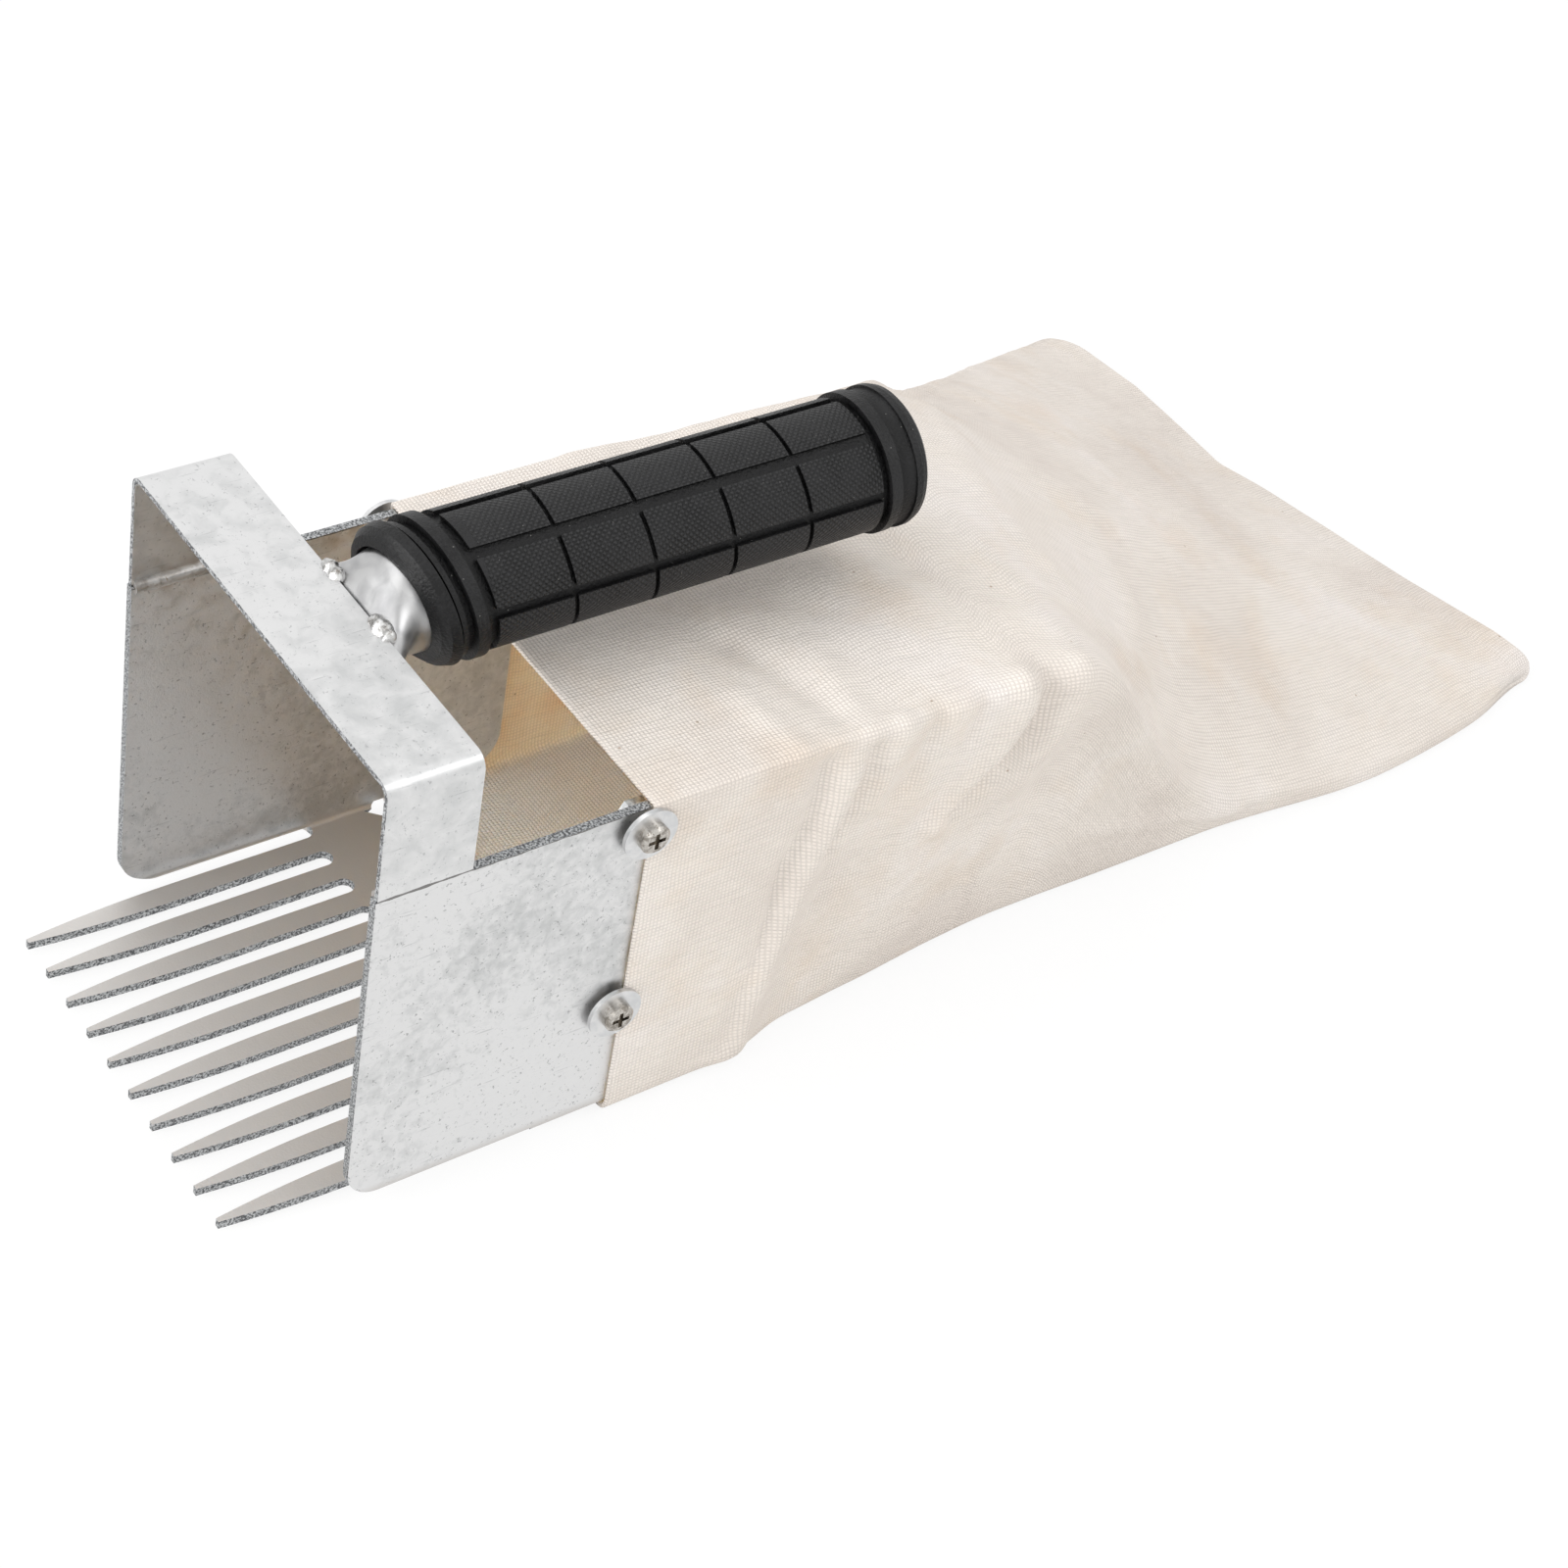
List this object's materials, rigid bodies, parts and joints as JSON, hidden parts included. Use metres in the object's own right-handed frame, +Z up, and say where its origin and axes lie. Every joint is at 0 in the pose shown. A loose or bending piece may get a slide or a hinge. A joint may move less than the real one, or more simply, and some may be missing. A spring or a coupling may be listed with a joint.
{
  "type": "berry picking rake",
  "caption": "Hand rake for berries: a U-shaped scoop of bent sheet with a comb cut in its floor, a bridge and grip above it, and a cloth bag behind its walls.",
  "frame": {"origin": "On the table, in the middle of the flat face of the bag where it goes round the rear of the shell.", "axes": "+Y from the comb to the bag, +Z up from the floor to the bridge and grip, +X to the left as the person who holds the grip sees it (the near wall in the picture)."},
  "size_m": [0.1887, 0.3765, 0.1251],
  "materials": {
    "galvanised_sheet": "zinc coated, mottled and scratched",
    "bright_tube": "bright zinc plated",
    "weld_metal": "as welded",
    "plated_steel": "bright plated",
    "black_rubber": "matte, knurled blocks",
    "canvas": "undyed plain weave"
  },
  "bodies": {
    "root": {"scoop_shell": "galvanised_sheet", "bridge_strip": "galvanised_sheet", "seam_weld_left": "weld_metal", "seam_weld_right": "weld_metal", "tack_weld_left": "weld_metal", "tack_weld_right": "weld_metal", "handle_tube": "bright_tube", "grip": "black_rubber", "bag": "canvas", "screw_left_upper": "plated_steel", "washer_left_upper": "plated_steel", "nut_left_upper": "plated_steel", "screw_left_lower": "plated_steel", "washer_left_lower": "plated_steel", "nut_left_lower": "plated_steel", "screw_right_upper": "plated_steel", "washer_right_upper": "plated_steel", "nut_right_upper": "plated_steel", "screw_right_lower": "plated_steel", "washer_right_lower": "plated_steel", "nut_right_lower": "plated_steel"}
  },
  "joints": []
}
